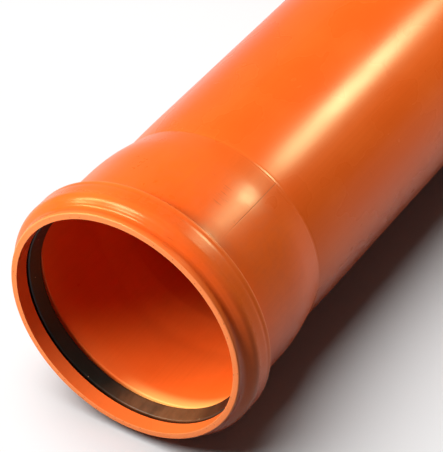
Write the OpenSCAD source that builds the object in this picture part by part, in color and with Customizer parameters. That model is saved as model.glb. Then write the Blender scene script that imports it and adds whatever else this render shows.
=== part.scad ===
// Socketed polypropylene sewer pipe, nominal size 160, with its rubber sealing ring.
// The pipe lies along +X: the socket's mouth is the plane X = 0, and the axis is at Y = 0, Z = 0.

/* [Barrel] */
// Outside diameter of the barrel
barrel_d = 160; // [110:1:200]
// Wall thickness of the barrel
barrel_wall = 4.9; // [3.6:0.1:6.2]
// Laying length, which leaves out the part that enters the next socket
laying_len = 1000; // [500:10:1200]

/* [Spigot end] */
// Length of the chamfer along the pipe
chamfer_len = 9; // [6:0.5:11]
// Angle between the chamfer and the pipe
chamfer_angle = 15; // [12:0.5:18]

/* [Socket] */
// How deep a spigot goes into the socket
insert_depth = 84; // [70:1:105]
// Play between a seated spigot and the socket, on the radius
spigot_play = 0.25; // [0.15:0.05:0.6]
// Wall thickness of the socket
socket_wall = 4.15; // [3.4:0.05:5]
// Length of the cone from the socket down to the barrel
cone_len = 21.3; // [17:0.1:26]
// Rounding of the shoulder where the cone starts
shoulder_r = 60; // [30:1:75]

/* [Mouth lip] */
// Length of the straight lip outside, from the mouth to the bead
lip_len = 6; // [5:0.1:7.2]
// Rounding of the lip's outer edge at the mouth
lip_edge_r = 1.2; // [0.8:0.1:1.6]
// Play between a spigot and the lip, on the radius
lip_play = 0.9; // [0.7:0.05:1.1]
// Wall thickness of the lip
lip_wall = 4.7; // [3.9:0.1:5.7]

/* [Seal bead] */
// How far the bead's crest stands above the barrel
bead_rise = 11.85; // [9.8:0.05:14.3]
// Distance from the mouth to the corner between the front slope and the crest
crest_start = 11; // [9.1:0.1:13.2]
// Length of the crest
crest_len = 16; // [13.3:0.1:19.2]
// Rounding of the hollow where the front slope leaves the lip
front_foot_r = 4; // [3.2:0.1:4.8]
// Rounding of the shoulder between the front slope and the crest
front_shoulder_r = 7; // [5.8:0.1:8.4]
// Length of the slope behind the crest
back_slope_len = 3.2; // [2.6:0.1:3.9]
// Wall thickness of the bead
bead_wall = 4; // [3.2:0.1:4.8]

/* [Sealing ring] */
// How far the lip stands in from a seated spigot's surface
lip_squeeze = 2.5; // [2:0.1:3]
// Thickness of the lip near its edge
ring_lip_t = 1.7; // [1.4:0.1:2.1]
// How far the lip's edge stands in front of the ring's back
lip_set_back = 1.2; // [1:0.1:1.5]
// Depth of the slot that lets the lip give way
slot_depth = 5; // [4.1:0.1:6]
// Gap between the ring and the groove
ring_gap = 0.2; // [0.1:0.05:0.3]

/* [Hidden] */
$fn = 96;

barrel_r = barrel_d / 2;
bore_r = barrel_r - barrel_wall;
total_len = insert_depth + laying_len;
chamfer_drop = chamfer_len * tan(chamfer_angle);

socket_in_r = barrel_r + spigot_play;
socket_out_r = socket_in_r + socket_wall;
cone_end = insert_depth + cone_len;

lip_in_r = barrel_r + lip_play;
lip_out_r = lip_in_r + lip_wall;
crest_r = barrel_r + bead_rise;
crest_end = crest_start + crest_len;
// the crest's middle is drawn in a little by the cooling of the formed bead
crest_dip = 0.1;

// the groove inside the bead: its front and back walls lean in much like the bead's own
groove_r = crest_r - bead_wall;
groove_start = crest_start - 0.1 * bead_wall;
groove_end = crest_end + 0.05 * bead_wall;
front_lean = bead_wall;
back_lean = 0.9 * bead_wall;

// the ring: its nose shows below the mouth's lip, and its heel bears on the groove's back
ring_out_r = groove_r - ring_gap;
ring_back = groove_end - back_lean - ring_gap;
ring_front = groove_start + 1.4;
nose_r = lip_in_r - 0.6;
ring_lip_r = barrel_r - lip_squeeze;
ring_lip_x = ring_back - lip_set_back;
ring_land = 1;
slot_r = lip_in_r + 1.8;
heel_r = lip_in_r + 2.4;
ring_round = min(1.8, 0.42 * (ring_out_r - heel_r));

// largest turn that one straight stretch of a rounding stands for, in degrees
arc_step = 6;

// Direction from point a to point b, as an angle
function heading(a, b) = atan2(b[1] - a[1], b[0] - a[0]);

// Turn at b on the way from a to c, between -180 and 180 degrees
function turn(a, b, c) =
    let (t = heading(b, c) - heading(a, b))
    t > 180 ? t - 360 : t <= -180 ? t + 360 : t;

// Corner b rounded to radius r: points along the arc that touches both of its sides
function rounding(a, b, c, r) =
    let (
        t = turn(a, b, c),
        side = sign(t),
        start = b - r * tan(abs(t) / 2) * [cos(heading(a, b)), sin(heading(a, b))],
        centre = start + r * side * [-sin(heading(a, b)), cos(heading(a, b))],
        steps = max(1, ceil(abs(t) / arc_step))
    )
    [for (i = [0 : steps])
        let (bearing = heading(a, b) - 90 * side + t * i / steps)
        centre + r * [cos(bearing), sin(bearing)]];

// Outline through corners [x, radius from the axis, rounding]
function rounded(corners) =
    let (n = len(corners))
    [for (i = [0 : n - 1])
        let (
            before = corners[(i + n - 1) % n],
            here = corners[i],
            after = corners[(i + 1) % n],
            a = [before[0], before[1]],
            b = [here[0], here[1]],
            c = [after[0], after[1]]
        )
        each here[2] > 0 ? rounding(a, b, c, here[2]) : [b]];

// Turns an outline given as [x, radius] about the X axis
module turned(outline) {
    rotate([0, 90, 0])
        rotate_extrude()
            polygon([for (p = outline) [p[1], p[0]]]);
}

// The outside from the mouth to the chamfer, then the inside back to the mouth
module pipe() {
    outside = [
        [0, lip_out_r, lip_edge_r],
        [lip_len, lip_out_r, front_foot_r],
        [crest_start, crest_r, front_shoulder_r],
        [(crest_start + crest_end) / 2, crest_r - crest_dip, 0],
        [crest_end, crest_r, 1.5],
        [crest_end + back_slope_len, socket_out_r, 4],
        [insert_depth + 1, socket_out_r, shoulder_r],
        [cone_end, barrel_r, 0],
        [total_len - chamfer_len, barrel_r, 0],
        [total_len, barrel_r - chamfer_drop, 0]
    ];
    inside = [
        [total_len, bore_r, 0],
        [cone_end + 1.2, bore_r, 12],
        [insert_depth, socket_in_r, 30],
        [groove_end, socket_in_r, 1.8],
        [groove_end - back_lean, groove_r, 1.8],
        [groove_start + front_lean, groove_r, 1.8],
        [groove_start, lip_in_r, 0],
        [0, lip_in_r, 0]
    ];
    color([0.93, 0.36, 0.13])
        turned(rounded(concat(outside, inside)));
}

// The back of the ring fills the groove, and its lip points inwards and to the rear
module sealing_ring() {
    section = [
        [ring_front, nose_r, 1.1],
        [ring_lip_x - ring_land, ring_lip_r, 0],
        [ring_lip_x, ring_lip_r, 0.3],
        [ring_lip_x + 0.3, ring_lip_r + ring_lip_t, 0.6],
        [ring_back - slot_depth, slot_r, 0.8],
        [ring_back, heel_r, 0.6],
        [ring_back, ring_out_r, ring_round],
        [groove_start + front_lean + 0.5, ring_out_r, ring_round]
    ];
    color([0.12, 0.1, 0.09])
        turned(rounded(section));
}

pipe();
sealing_ring();
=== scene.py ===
import math
from collections import namedtuple

import bpy
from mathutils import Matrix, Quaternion, Vector, noise


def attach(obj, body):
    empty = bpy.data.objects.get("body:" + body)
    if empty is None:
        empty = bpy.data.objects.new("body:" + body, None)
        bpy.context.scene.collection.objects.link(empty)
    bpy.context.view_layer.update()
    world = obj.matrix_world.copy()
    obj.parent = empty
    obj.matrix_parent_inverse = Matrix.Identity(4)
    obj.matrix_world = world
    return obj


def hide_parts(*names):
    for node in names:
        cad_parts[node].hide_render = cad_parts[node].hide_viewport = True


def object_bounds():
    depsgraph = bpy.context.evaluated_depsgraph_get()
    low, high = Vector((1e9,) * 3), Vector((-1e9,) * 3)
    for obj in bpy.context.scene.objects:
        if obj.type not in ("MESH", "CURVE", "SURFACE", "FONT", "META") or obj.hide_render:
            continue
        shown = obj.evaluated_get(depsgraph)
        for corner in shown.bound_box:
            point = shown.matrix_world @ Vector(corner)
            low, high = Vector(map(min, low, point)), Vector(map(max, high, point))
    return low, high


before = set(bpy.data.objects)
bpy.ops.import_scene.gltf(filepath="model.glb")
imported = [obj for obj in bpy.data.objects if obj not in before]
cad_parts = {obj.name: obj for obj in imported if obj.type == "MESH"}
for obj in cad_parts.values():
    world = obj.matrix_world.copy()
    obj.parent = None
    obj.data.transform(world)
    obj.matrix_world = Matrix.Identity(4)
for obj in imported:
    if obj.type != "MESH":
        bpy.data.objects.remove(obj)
cad_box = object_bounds()

# A sewer pipe lying on a pale floor, seen from its socket with the seal bead and the black lip ring.
# Pipe and ring are turned anew from the outlines of their CAD nodes, with softened edges, the relief
# of a formed socket, and procedural materials. Lengths are in metres, unless a comment says mm.

MM = 0.001
BODY = "root"

# Camera: the point that it aims at, where it looks from, and its lens and sensor in mm
CAMERA_AIM = Vector((0.0675, -0.0301, 0.0489))
CAMERA_AZIMUTH = math.radians(302.3)
CAMERA_ELEVATION = math.radians(40.0)
CAMERA_DISTANCE = 1.518
CAMERA_LENS = 194.8
CAMERA_SENSOR = 36

# Lamps: azimuth and elevation are where a lamp shines from, in the camera's own convention. Width
# and height are how large its elliptical panel looks from the point that it aims at, and roll turns
# the panel about its own axis. All of these are in degrees. Light is what a face turned to the lamp
# gets, where 1 shows a colour as it is written. Together they give the pipe's top about 1.7.
Lamp = namedtuple("Lamp", "azimuth elevation distance width height roll light colour")
LAMP_AIM = Vector((0.12, 0.0, 0.03))
LAMPS = {
    "key": Lamp(236, 40, 1.0, 23, 23, 0, 1.02, (1.0, 0.98, 0.88)),
    "wide": Lamp(236, 44, 2.4, 60, 50, 0, 0.17, (1.0, 0.95, 0.82)),
    "low": Lamp(214, 27, 1.0, 14, 28, 0, 0.68, (1.0, 0.99, 0.62)),
    "streak": Lamp(63.4, 38.1, 1.01, 10.8, 13, 53, 0.80, (0.82, 1.0, 0.75)),
    "right": Lamp(20, 60, 2.4, 70, 50, 0, 0.12, (1.0, 0.68, 0.30)),
    "behind": Lamp(137, 16, 2.4, 46, 32, 0, 0.04, (1.0, 0.9, 0.7)),
}
WORLD_GREY = (0.03, 0.03, 0.03, 1)

# Floor: its own light that casts the soft shadow, with azimuth, elevation and width in degrees, and
# the two greys that it shows, near FLOOR_CENTRE and far from it, which paint a pool of light round
# FLOOR_CENTRE. FLOOR_BOUNCE is the grey with which it throws light back on the pipe.
FLOOR_LIGHT = 1.25
FLOOR_LIGHT_FROM = (205, 67)
FLOOR_LIGHT_WIDTH = 60
FLOOR_CENTRE = (0.06, 0.25, -0.09)
FLOOR_WHITE_TO = 0.30
FLOOR_GREY_FROM = 0.95
FLOOR_WHITE = (0.85, 0.85, 0.85)
FLOOR_GREY = (0.50, 0.50, 0.50)
FLOOR_BOUNCE = (0.12, 0.12, 0.12)
FLOOR_ROUGHNESS = 0.9
FLOOR_REACH = 12

# Meshes: how many stretches go round the axis, the longest stretch along an outline, the longest
# stretch that counts as part of an arc, and the radius and the support of a sharp edge
ROUND = 240
LONGEST = 25 * MM
LONGEST_ARC = 7 * MM
EDGE_RADIUS = 0.25 * MM
EDGE_SUPPORT = 0.35 * MM

# Relief of the formed socket's outside, as (place along the axis, half its width, height), all in
# mm. A negative height is a hollow.
RIDGES = (
    (7.7, 0.9, 0.05),
    (23.2, 2.2, -0.20),
    (34.0, 12.0, -0.16),
    (103.9, 1.0, 0.04),
    (106.6, 1.1, -0.07),
)
RIDGE_STEPS = 10

# How much more the formed wall leans inwards than the CAD's, going away from the mouth, as (place
# along the axis in mm, degrees). It softens the socket's shoulder and draws in the barrel just behind
# the cone. The leans add up to nothing, so that the barrel has the CAD's radius again behind them.
LEAN = (
    (66, 0.0),
    (78.6, 4.95),
    (91.4, -1.2),
    (105.3, -0.9),
    (107, -2.6),
    (113, -2.2),
    (122, -1.1),
    (134, -0.2),
    (140, 0.0),
)
LEAN_STEP = 3

# Radii between the inside and the outside of the socket's wall, and of the barrel's
SOCKET_WALL = (0.0825, 0.0835)
BARREL_WALL = (0.0785, 0.0795)

# Angles round the axis, from -Y towards +Z: the thin line that the forming tool left along the
# socket, the middle of the scuffed band, and the bottom, where the ring turns brownish and the
# rim highlight is painted
TOOL_LINE_ANGLE = math.radians(54.3)
SCUFFED_ANGLE = math.radians(62)
BOTTOM_ANGLE = math.radians(-72)

# Colours of the orange skin
SKIN_DEEP = (0.805, 0.104, 0.0130)
SKIN_LIGHT = (0.835, 0.118, 0.0165)
SKIN_DRAWN_LINE = (0.70, 0.084, 0.010)
SKIN_DULL = (0.73, 0.105, 0.026)
SKIN_MARK = (0.36, 0.040, 0.008)
SKIN_PALE_SPECK = (0.96, 0.42, 0.18)
SKIN_DARK_SPECK = (0.40, 0.055, 0.012)
SKIN_WORN = (0.95, 0.24, 0.07)
# Painted highlight: a pale band on the groove's rear edge, behind the ring at the bottom of the
# inside
SKIN_PAINTED_RIM_HIGHLIGHT = (0.98, 0.42, 0.13)
SKIN_TINT = (1.0, 0.80, 0.42, 1)

# Colours of the cut ends
CUT_DEEP = (0.76, 0.106, 0.018)
CUT_LIGHT = (0.86, 0.150, 0.030)
CUT_PATCH = (0.90, 0.22, 0.065)
CUT_WORN = (0.95, 0.29, 0.10)
CUT_SPECK = (0.45, 0.07, 0.02)
POLYPROPYLENE_IOR = 1.49

# Colours of the sealing ring
RUBBER_DEEP = (0.005, 0.005, 0.0045)
RUBBER_LIGHT = (0.009, 0.007, 0.006)
# Brownish colour that the ring takes towards the bottom
RUBBER_BROWN = (0.165, 0.060, 0.025)
RUBBER_SPECK = (0.34, 0.20, 0.12)


def direction(azimuth, elevation):
    """Unit vector towards a viewer or lamp at this azimuth and elevation."""
    return Vector((
        math.sin(azimuth) * math.cos(elevation),
        -math.cos(azimuth) * math.cos(elevation),
        math.sin(elevation),
    ))


# --- Outlines -------------------------------------------------------------------------------------
# An outline is a closed list of points (x, distance from the axis). It runs along the outside from
# the mouth to the far end, and back along the inside.

def read_outline(node):
    """The outline of a turned node, read along the seam of its mesh below the axis."""
    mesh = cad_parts[node].data
    on_seam = {}
    for vertex in mesh.vertices:
        x, y, z = vertex.co
        if z < 0 and abs(y) < 1e-6:
            on_seam[vertex.index] = (round(x, 6), round(-z, 6))
    beside = {}
    for edge in mesh.edges:
        a, b = (on_seam.get(index) for index in edge.vertices)
        if a and b and a != b:
            beside.setdefault(a, []).append(b)
            beside.setdefault(b, []).append(a)
    outline = [min(beside)]
    while True:
        onward = [point for point in beside[outline[-1]] if point not in outline]
        if not onward:
            break
        outline.append(onward[0])
    points = [Vector(point) for point in outline]
    area = sum(a.x * b.y - b.x * a.y for a, b in zip(points, points[1:] + points[:1]))
    return points if area < 0 else points[::-1]


def after(points, i):
    """The outline's point after point i."""
    return points[(i + 1) % len(points)]


def turn_at(points, i):
    """The outline's turn at point i, in radians, positive to the left."""
    a, b, c = points[i - 1], points[i], after(points, i)
    return -(b - a).angle_signed(c - b)


def corners_rounded(points, steps=3, sharp=math.radians(25)):
    """The outline with a small radius on each sharp corner, as a moulded or cut edge has."""
    result = []
    for i, b in enumerate(points):
        turn = abs(turn_at(points, i))
        if turn < sharp:
            result.append(b)
            continue
        a, c = points[i - 1], after(points, i)
        back = min(EDGE_RADIUS * math.tan(turn / 2), (b - a).length / 3, (c - b).length / 3)
        start = b + (a - b).normalized() * back
        end = b + (c - b).normalized() * back
        for k in range(steps + 1):
            t = k / steps
            result.append(start * (1 - t) ** 2 + b * 2 * t * (1 - t) + end * t ** 2)
    return result


def arcs_refined(points, least_turn=math.radians(3)):
    """One more point in the middle of each stretch of an arc, on the arc."""
    count = len(points)
    turns = [turn_at(points, i) for i in range(count)]
    lengths = [(after(points, i) - points[i]).length for i in range(count)]
    result = []
    for i, a in enumerate(points):
        b = after(points, i)
        result.append(a)
        turn_before, turn_after = turns[i], after(turns, i)
        along = b - a
        bends = turn_before * turn_after > 0 and abs(turn_before) + abs(turn_after) > least_turn
        beside = max(lengths[i - 1], after(lengths, i))
        if bends and along.length < min(LONGEST_ARC, 3 * beside):
            left = Vector((-along.y, along.x))
            result.append((a + b) / 2 - left * (turn_before + turn_after) / 16)
    return result


def stretches_cut(points, sharp=math.radians(5)):
    """The outline with long stretches cut up, and a point close to each end that is at an edge."""
    count = len(points)
    edge = [abs(turn_at(points, i)) > sharp for i in range(count)]
    result = []
    for i, a in enumerate(points):
        b = after(points, i)
        result.append(a)
        length = (b - a).length
        if length < 4 * EDGE_SUPPORT:
            continue
        pieces = math.ceil(length / LONGEST)
        places = [k * length / pieces for k in range(1, pieces)]
        if edge[i]:
            places.insert(0, EDGE_SUPPORT)
        if after(edge, i):
            places.append(length - EDGE_SUPPORT)
        result += [a.lerp(b, place / length) for place in places]
    return result


def relief_cut(points):
    """The outline with more points on the outside, where the relief needs them."""
    steps = [2 * k / RIDGE_STEPS - 1 for k in range(RIDGE_STEPS + 1)]
    places = {place + half * step for place, half, height in RIDGES for step in steps}
    places |= set(range(LEAN[0][0], LEAN[-1][0], LEAN_STEP))
    cuts = [place * MM for place in sorted(places)]
    clear = EDGE_SUPPORT / 2
    result = []
    for i, a in enumerate(points):
        b = after(points, i)
        result.append(a)
        inner = [x for x in cuts if a.x + clear < x < b.x - clear]
        result += [a.lerp(b, (x - a.x) / (b.x - a.x)) for x in inner]
    return result


def ridge_height(x):
    """How far the ridges push the outside out at this place along the axis."""
    height_here = 0.0
    for place, half, height in RIDGES:
        t = abs(x / MM - place) / half
        if t < 1:
            height_here += height * MM * 0.5 * (1 + math.cos(math.pi * t))
    return height_here


def sag(x):
    """How far the leaning wall has come in from the CAD's at this place along the axis."""
    total = 0.0
    for (x0, lean0), (x1, lean1) in zip(LEAN, LEAN[1:]):
        share = min(1.0, max(0.0, (x / MM - x0) / (x1 - x0)))
        mean = lean0 + (lean1 - lean0) * share / 2
        total += math.radians(mean) * (x1 - x0) * share * MM
    return total


def with_relief(points):
    """The outline with its outside moved by the ridges, along its own normal, and by the sag."""
    far_end = max(range(len(points)), key=lambda i: (round(points[i].x, 6), points[i].y))
    result = []
    for i, here in enumerate(points):
        if i < far_end:
            along = (after(points, i) - points[i - 1]).normalized()
            outwards = Vector((-along.y, along.x))
            here = here + outwards * ridge_height(here.x) - Vector((0.0, sag(here.x)))
        result.append(here)
    return result


# --- Meshes ---------------------------------------------------------------------------------------

def out_of_round(x, angle):
    """How far the wall lies inside its nominal radius: the slow wander of a real extrusion."""
    wander = noise.noise(Vector((x * 9, 0.9 * math.cos(angle), 0.9 * math.sin(angle))))
    return (0.06 + 0.06 * wander) * MM


def edge_wear(points, reach=1.0 * MM, fully_worn=math.radians(60)):
    """How sharply the outline turns outwards near each of its points, from 0 to 1."""
    turns = [max(0.0, -turn_at(points, i)) for i in range(len(points))]
    wear = []
    for here in points:
        near = sum(turn for turn, there in zip(turns, points) if (there - here).length < reach)
        wear.append(min(1.0, near / fully_worn))
    return wear


def turned_mesh(name, points):
    """A closed mesh of the outline turned about the X axis."""
    vertices = []
    for j in range(ROUND):
        angle = 2 * math.pi * j / ROUND
        for x, r in points:
            r -= out_of_round(x, angle)
            vertices.append((x, -r * math.cos(angle), r * math.sin(angle)))
    count = len(points)
    faces = []
    for j in range(ROUND):
        here = j * count
        there = (j + 1) % ROUND * count
        for i in range(count):
            k = (i + 1) % count
            faces.append((here + i, here + k, there + k, there + i))
    mesh = bpy.data.meshes.new(name)
    mesh.from_pydata(vertices, [], faces)
    mesh.polygons.foreach_set("use_smooth", [True] * len(mesh.polygons))
    mesh.update()
    worn = mesh.attributes.new("edge", "FLOAT", "POINT")
    worn.data.foreach_set("value", edge_wear(points) * ROUND)
    piece = bpy.data.objects.new(name, mesh)
    bpy.context.scene.collection.objects.link(piece)
    return piece


# --- Materials ------------------------------------------------------------------------------------
# Places along the pipe are in metres from the mouth, angles are in radians, and masks go from 0 to 1.

class Shading:
    """A material under construction: short calls for the nodes that its surface is built from."""

    def __init__(self, name):
        self.material = bpy.data.materials.new(name)
        self.material.use_nodes = True
        self.tree = self.material.node_tree
        self.shader = self.tree.nodes["Principled BSDF"]
        self.place = self.tree.nodes.new("ShaderNodeTexCoord").outputs["Object"]
        parts = self.tree.nodes.new("ShaderNodeSeparateXYZ")
        self.tree.links.new(self.place, parts.inputs[0])
        self.x, self.y, self.z = parts.outputs

    def feed(self, socket, value):
        """Links a node's output to a socket, or sets a plain value on it."""
        if isinstance(value, bpy.types.NodeSocket):
            self.tree.links.new(value, socket)
        else:
            socket.default_value = value

    def math(self, operation, *values, clamp=False):
        """The result of a Math node on these values."""
        node = self.tree.nodes.new("ShaderNodeMath")
        node.operation = operation
        node.use_clamp = clamp
        for socket, value in zip(node.inputs, values):
            self.feed(socket, value)
        return node.outputs[0]

    def product(self, first, *others):
        """All these values multiplied."""
        for other in others:
            first = self.math("MULTIPLY", first, other)
        return first

    def mapped(self, value, low, high, to_low=0.0, to_high=1.0):
        """The value eased from one range to another, and held at its ends."""
        node = self.tree.nodes.new("ShaderNodeMapRange")
        node.interpolation_type = "SMOOTHSTEP"
        ends = {"From Min": low, "From Max": high, "To Min": to_low, "To Max": to_high}
        self.feed(node.inputs["Value"], value)
        for name, end in ends.items():
            self.feed(node.inputs[name], end)
        return node.outputs["Result"]

    def mix(self, factor, a, b):
        """Colour a where the factor is 0 and colour b where it is 1."""
        node = self.tree.nodes.new("ShaderNodeMix")
        node.data_type = "RGBA"
        inputs = {socket.name: socket for socket in node.inputs if socket.enabled}
        self.feed(inputs["Factor"], factor)
        for name, colour in (("A", a), ("B", b)):
            self.feed(inputs[name], (*colour, 1) if isinstance(colour, tuple) else colour)
        return next(socket for socket in node.outputs if socket.enabled)

    def noise(self, along, around, detail=2.0, offset=0.0):
        """Noise with this many features a metre along the pipe and around it, between 0 and 1."""
        stretched = self.tree.nodes.new("ShaderNodeMapping")
        stretched.inputs["Location"].default_value = (offset, offset, offset)
        stretched.inputs["Scale"].default_value = (along, around, around)
        self.tree.links.new(self.place, stretched.inputs["Vector"])
        node = self.tree.nodes.new("ShaderNodeTexNoise")
        node.inputs["Scale"].default_value = 1.0
        node.inputs["Detail"].default_value = detail
        self.tree.links.new(stretched.outputs[0], node.inputs["Vector"])
        return node.outputs["Fac"]

    def specks(self, per_metre, share, size, offset=0.0):
        """Mask of round specks in this share of a grid's cells; their size is a share of a cell."""
        shifted = self.tree.nodes.new("ShaderNodeMapping")
        shifted.inputs["Location"].default_value = (offset, offset, offset)
        self.tree.links.new(self.place, shifted.inputs["Vector"])
        node = self.tree.nodes.new("ShaderNodeTexVoronoi")
        node.inputs["Scale"].default_value = per_metre
        self.tree.links.new(shifted.outputs[0], node.inputs["Vector"])
        near = self.mapped(node.outputs["Distance"], size, size * 0.5)
        parts = self.tree.nodes.new("ShaderNodeSeparateColor")
        self.tree.links.new(node.outputs["Color"], parts.inputs[0])
        chosen = self.math("GREATER_THAN", parts.outputs[0], 1 - share)
        return self.product(near, chosen)

    def off_angle(self, angle):
        """How far this place is from an angle round the axis, both from -Y towards +Z."""
        here = self.math("ARCTAN2", self.z, self.product(self.y, -1.0))
        return self.math("ABSOLUTE", self.math("SUBTRACT", here, angle))

    def beyond(self, radii):
        """Mask of what lies further from the axis, easing in between the two radii."""
        squares = [self.math("POWER", part, 2.0) for part in (self.y, self.z)]
        radius = self.math("SQRT", self.math("ADD", *squares))
        return self.mapped(radius, *radii)

    def towards_bottom(self):
        """How far this place lies from the axis in the bottom's direction."""
        down = self.product(self.z, math.sin(BOTTOM_ANGLE))
        sideways = self.product(self.y, -math.cos(BOTTOM_ANGLE))
        return self.math("ADD", down, sideways)

    def distance_from(self, point):
        """How far this place is from a point."""
        node = self.tree.nodes.new("ShaderNodeVectorMath")
        node.operation = "DISTANCE"
        self.tree.links.new(self.place, node.inputs[0])
        node.inputs[1].default_value = point
        return node.outputs["Value"]

    def seen(self):
        """1 where the surface is seen, straight or mirrored, and 0 where it throws light back."""
        path = self.tree.nodes.new("ShaderNodeLightPath").outputs
        reflected = self.math("MAXIMUM", path["Is Glossy Ray"], path["Is Transmission Ray"])
        return self.math("MAXIMUM", path["Is Camera Ray"], reflected)

    def worn(self):
        """How much of an edge the surface is here, between 0 and 1, as the mesh says."""
        node = self.tree.nodes.new("ShaderNodeAttribute")
        node.attribute_name = "edge"
        return node.outputs["Fac"]

    def bump(self, height, depth):
        """Sets the relief that the height between 0 and 1 stands for, depth metres deep."""
        node = self.tree.nodes.new("ShaderNodeBump")
        node.inputs["Distance"].default_value = depth
        self.feed(node.inputs["Height"], height)
        self.tree.links.new(node.outputs[0], self.shader.inputs["Normal"])

    def finish(self, colour, roughness, settings=None):
        """The material, with this colour and roughness, and these plain values on its shader."""
        self.feed(self.shader.inputs["Base Color"], colour)
        self.feed(self.shader.inputs["Roughness"], roughness)
        for name, value in (settings or {}).items():
            self.shader.inputs[name].default_value = value
        return self.material


def tool_line(skin):
    """Mask of the thin line that runs along the socket from the cone's end towards the bead."""
    line = skin.mapped(skin.off_angle(TOOL_LINE_ANGLE), 0.0042, 0.0016)
    begins = skin.mapped(skin.x, 0.033, 0.066)
    ends = skin.mapped(skin.x, 0.1056, 0.1048)
    return skin.product(line, begins, ends)


def scuffed_band(skin):
    """Mask of where handling has scuffed the socket's outside and, weakly, the barrel's."""
    round_it = skin.mapped(skin.off_angle(SCUFFED_ANGLE), 0.45, 0.12)
    socket = skin.product(round_it, skin.mapped(skin.x, 0.097, 0.080))
    barrel = skin.mapped(skin.x, 0.60, 0.05, 0.0, 0.16)
    return skin.product(skin.math("MAXIMUM", socket, barrel), skin.beyond(BARREL_WALL))


def scuffs(skin):
    """Mask of fine scratches across the pipe, in patches of the scuffed band."""
    fine = skin.noise(along=1100, around=75, detail=3.0, offset=11.0)
    coarse = skin.noise(along=30, around=40, detail=2.0, offset=5.0)
    scratches = skin.mapped(fine, 0.60, 0.74, 0.0, 0.6)
    patches = skin.mapped(coarse, 0.50, 0.64)
    return skin.product(scratches, patches, scuffed_band(skin))


def painted_rim_highlight(skin):
    """Mask of a painted highlight: a pale band at the bottom of the inside, behind the ring.

    It is colour that stands in for a highlight on the groove's rear edge.
    """
    bottom = skin.mapped(skin.towards_bottom(), 0.064, 0.079)
    begins = skin.mapped(skin.x, 0.0225, 0.0240)
    ends = skin.mapped(skin.x, 0.038, 0.027)
    inside = skin.math("SUBTRACT", 1.0, skin.beyond(SOCKET_WALL))
    return skin.product(inside, begins, ends, bottom)


def skin_colour(skin, clouds, drawn, dull, marks):
    """The orange with its clouds and lines, under its marks, specks, wear and painted rim highlight.
    """
    colour = skin.mix(skin.mapped(clouds, 0.36, 0.64), SKIN_DEEP, SKIN_LIGHT)
    colour = skin.mix(skin.mapped(drawn, 0.3, 0.9, 0.0, 0.25), colour, SKIN_DRAWN_LINE)
    colour = skin.mix(dull, colour, SKIN_DULL)
    colour = skin.mix(marks, colour, SKIN_MARK)
    pale_specks = skin.specks(per_metre=60, share=0.06, size=0.035)
    dark_specks = skin.specks(per_metre=55, share=0.05, size=0.03, offset=2.0)
    colour = skin.mix(pale_specks, colour, SKIN_PALE_SPECK)
    colour = skin.mix(dark_specks, colour, SKIN_DARK_SPECK)
    colour = skin.mix(skin.product(skin.worn(), 0.35), colour, SKIN_WORN)
    # The painted highlight behind the ring, at the bottom of the inside
    return skin.mix(painted_rim_highlight(skin), colour, SKIN_PAINTED_RIM_HIGHLIGHT)


def skin_height(skin, drawn, mottle, formed, marks):
    """Drawn lines on the barrel, a coarser grain on the formed socket, and sunken marks."""
    lines = skin.product(drawn, skin.mapped(skin.x, 0.095, 0.110))
    grain = skin.product(mottle, skin.mapped(formed, 0, 1, 0.5, 2.5))
    return skin.math("SUBTRACT", skin.math("ADD", lines, grain), skin.product(marks, 4.0))


def orange_skin():
    """The pipe's own surface: drawn lines along the barrel, and a duller, scuffed socket."""
    skin = Shading("orange_polypropylene")
    drawn = skin.noise(along=1.5, around=520, detail=3.0)
    clouds = skin.noise(along=14, around=22, detail=3.0, offset=3.0)
    mottle = skin.noise(along=160, around=190, detail=4.0, offset=7.0)
    outer = skin.beyond(SOCKET_WALL)
    formed = skin.mapped(skin.x, 0.108, 0.098)
    dull = skin.product(formed, skin.mapped(mottle, 0.30, 0.75, 0.0, 0.40), outer)
    glossy_lip = skin.product(skin.mapped(skin.x, 0.020, 0.010), outer)
    marks = skin.math("MAXIMUM", scuffs(skin), skin.product(tool_line(skin), 0.65))

    rough = skin.mapped(clouds, 0.30, 0.70, 0.25, 0.31)
    for mask, rougher in ((formed, 0.015), (dull, 0.10), (marks, 0.15), (glossy_lip, -0.10)):
        rough = skin.math("ADD", rough, skin.product(mask, rougher), clamp=True)
    skin.bump(skin_height(skin, drawn, mottle, formed, marks), 0.012 * MM)
    return skin.finish(skin_colour(skin, clouds, drawn, dull, marks), rough, {
        "IOR": POLYPROPYLENE_IOR,
        "Specular IOR Level": 0.28,
        "Specular Tint": SKIN_TINT,
    })


def orange_cut():
    """The cut faces at both ends: paler, rough, with the saw's marks and specks of swarf."""
    cut = Shading("cut_polypropylene")
    grain = cut.noise(along=700, around=700, detail=3.0)
    patches = cut.noise(along=60, around=60, detail=2.0, offset=4.0)
    colour = cut.mix(cut.mapped(grain, 0.35, 0.68), CUT_DEEP, CUT_LIGHT)
    colour = cut.mix(cut.mapped(patches, 0.40, 0.75, 0.0, 0.35), colour, CUT_PATCH)
    colour = cut.mix(cut.product(cut.worn(), 0.7), colour, CUT_WORN)
    colour = cut.mix(cut.specks(per_metre=420, share=0.14, size=0.22), colour, CUT_SPECK)
    cut.bump(grain, 0.10 * MM)
    rough = cut.mapped(grain, 0.3, 0.7, 0.62, 0.48)
    return cut.finish(colour, rough, {"IOR": POLYPROPYLENE_IOR, "Specular IOR Level": 0.35})


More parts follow.
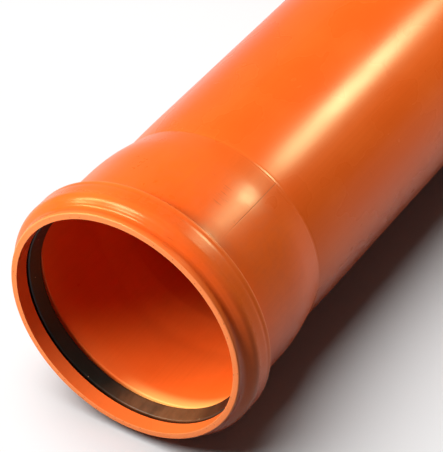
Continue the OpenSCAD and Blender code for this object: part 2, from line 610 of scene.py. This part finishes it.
def black_rubber():
    """The sealing ring: black, turning brownish towards the bottom, with specks."""
    rubber = Shading("black_rubber")
    streaks = rubber.noise(along=90, around=520, detail=3.0)
    patches = rubber.noise(along=50, around=60, detail=3.0, offset=6.0)
    # Brownish towards the bottom, in patches and streaks
    brown_bottom = rubber.product(
        rubber.mapped(rubber.towards_bottom(), 0.058, 0.083),
        rubber.mapped(patches, 0.30, 0.60, 0.55, 1.0),
        rubber.mapped(streaks, 0.30, 0.62, 0.85, 1.0),
    )
    colour = rubber.mix(rubber.mapped(patches, 0.35, 0.65), RUBBER_DEEP, RUBBER_LIGHT)
    colour = rubber.mix(brown_bottom, colour, RUBBER_BROWN)
    colour = rubber.mix(rubber.specks(per_metre=300, share=0.10, size=0.16), colour, RUBBER_SPECK)
    rubber.bump(streaks, 0.03 * MM)
    rough = rubber.mapped(streaks, 0.3, 0.7, 0.34, 0.46)
    return rubber.finish(colour, rough, {"Specular IOR Level": 0.28})


def pale_floor():
    """A matt pale floor with a painted pool of light round the mouth, which throws less light back
    than it shows.
    """
    floor = Shading("pale_floor")
    # Painted pool of light: white near FLOOR_CENTRE, greyer further away
    outside_painted_pool = floor.mapped(floor.distance_from(FLOOR_CENTRE), FLOOR_WHITE_TO, FLOOR_GREY_FROM)
    shown = floor.mix(outside_painted_pool, FLOOR_WHITE, FLOOR_GREY)
    return floor.finish(floor.mix(floor.seen(), FLOOR_BOUNCE, shown), FLOOR_ROUGHNESS)


# --- Pieces ---------------------------------------------------------------------------------------

def stand_for(piece, node):
    """Lets a piece stand for a CAD node, whose mesh it hides, on the object's only body."""
    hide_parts(node)
    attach(piece, BODY)


def at_an_end(polygon, mesh, reach=0.3 * MM):
    """Whether a polygon is part of one of the pipe's two cut faces."""
    xs = [mesh.vertices[index].co.x for index in polygon.vertices]
    nearest = min(abs(x - corner[0]) for x in xs for corner in cad_box)
    return nearest < reach and abs(polygon.normal.x) > 0.5


def make_pipe():
    """The pipe's wall, with its cut faces in a material of their own."""
    points = corners_rounded(read_outline("pipe"))
    points = with_relief(relief_cut(stretches_cut(arcs_refined(points))))
    piece = turned_mesh("pipe_wall", points)
    mesh = piece.data
    mesh.materials.append(orange_skin())
    mesh.materials.append(orange_cut())
    for polygon in mesh.polygons:
        polygon.material_index = int(at_an_end(polygon, mesh))
    stand_for(piece, "pipe")
    return piece


def make_ring():
    """The sealing ring in the bead's groove."""
    points = stretches_cut(corners_rounded(read_outline("sealing_ring")))
    piece = turned_mesh("lip_ring", points)
    piece.data.materials.append(black_rubber())
    stand_for(piece, "sealing_ring")
    return piece


# --- Stage ----------------------------------------------------------------------------------------

def make_floor():
    """A floor that the pipe lies on unheld: under the bead's crest and the plain end's edge."""
    outline = read_outline("pipe")
    crest = max(outline, key=lambda point: (round(point.y, 5), point.x))
    far_half = [point for point in outline if point.x > cad_box[1][0] / 2]
    rest = max(far_half, key=lambda point: point.y)
    slope = (crest.y - rest.y) / (rest.x - crest.x)
    corners = []
    for side_x, side_y in ((-1, -1), (1, -1), (1, 1), (-1, 1)):
        x = side_x * FLOOR_REACH
        corners.append((x, side_y * FLOOR_REACH, -crest.y + slope * (x - crest.x)))
    mesh = bpy.data.meshes.new("floor")
    mesh.from_pydata(corners, [], [(0, 1, 2, 3)])
    mesh.materials.append(pale_floor())
    floor = bpy.data.objects.new("floor", mesh)
    bpy.context.scene.collection.objects.link(floor)
    return floor


def collection_of(name, pieces):
    """A collection of these pieces, for a lamp that lights nothing else."""
    collection = bpy.data.collections.new(name)
    for piece in pieces:
        collection.objects.link(piece)
    return collection


def hang_lamp(name, data, shines_on, azimuth, elevation, distance=1.0, roll=0.0):
    """Hangs a lamp's data where it shines at LAMP_AIM, from this azimuth and elevation in degrees."""
    towards = direction(math.radians(azimuth), math.radians(elevation))
    rolled = Quaternion((0, 0, 1), math.radians(roll))
    lamp = bpy.data.objects.new(name, data)
    lamp.location = LAMP_AIM + towards * distance
    lamp.rotation_mode = "QUATERNION"
    lamp.rotation_quaternion = (-towards).to_track_quat("-Z", "Y") @ rolled
    lamp.light_linking.receiver_collection = shines_on
    bpy.context.scene.collection.objects.link(lamp)


def panel_width(angle, distance):
    """How wide a panel has to be to look this wide, in degrees, from this far away."""
    return 2 * distance * math.tan(math.radians(angle / 2))


def panel_power(distance, width, height):
    """Watts of an elliptical panel that gives 1 W/m2 where it aims."""
    return math.pi * (distance ** 2 + width * height / 4)


def make_panel(name, lamp, shines_on):
    """One of the soft panels round the object."""
    data = bpy.data.lights.new(name, "AREA")
    data.color = lamp.colour
    data.shape = "ELLIPSE"
    data.size = panel_width(lamp.width, lamp.distance)
    data.size_y = panel_width(lamp.height, lamp.distance)
    data.energy = lamp.light * math.pi * panel_power(lamp.distance, data.size, data.size_y)
    hang_lamp(name, data, shines_on, lamp.azimuth, lamp.elevation, lamp.distance, lamp.roll)


def make_floor_light(shines_on):
    """The floor's own wide light, which gives the soft shadow."""
    data = bpy.data.lights.new("over_floor", "SUN")
    data.energy = FLOOR_LIGHT * math.pi
    data.angle = math.radians(FLOOR_LIGHT_WIDTH)
    hang_lamp("over_floor", data, shines_on, *FLOOR_LIGHT_FROM)


def make_world():
    """A dark grey world, so that the lamps give nearly all of the light."""
    world = bpy.data.worlds.new("world")
    world.use_nodes = True
    world.node_tree.nodes["Background"].inputs["Color"].default_value = WORLD_GREY
    bpy.context.scene.world = world


def make_lights(pieces, floor):
    """Soft panels for the object, a light for the floor, and the world."""
    on_object = collection_of("lit_object", pieces)
    on_floor = collection_of("lit_floor", [floor])
    for name, lamp in LAMPS.items():
        make_panel(name, lamp, on_object)
    make_floor_light(on_floor)
    make_world()


def make_camera():
    """A level camera that looks down on the mouth, with the pipe running away to the upper right."""
    back = direction(CAMERA_AZIMUTH, CAMERA_ELEVATION)
    data = bpy.data.cameras.new("camera")
    data.sensor_width = CAMERA_SENSOR
    data.lens = CAMERA_LENS
    camera = bpy.data.objects.new("camera", data)
    camera.location = CAMERA_AIM + back * CAMERA_DISTANCE
    camera.rotation_mode = "QUATERNION"
    camera.rotation_quaternion = (-back).to_track_quat("-Z", "Y")
    bpy.context.scene.collection.objects.link(camera)
    bpy.context.scene.camera = camera


make_camera()
pipe = make_pipe()
ring = make_ring()
make_lights([pipe, ring], make_floor())
bpy.context.scene.view_settings.view_transform = "Standard"
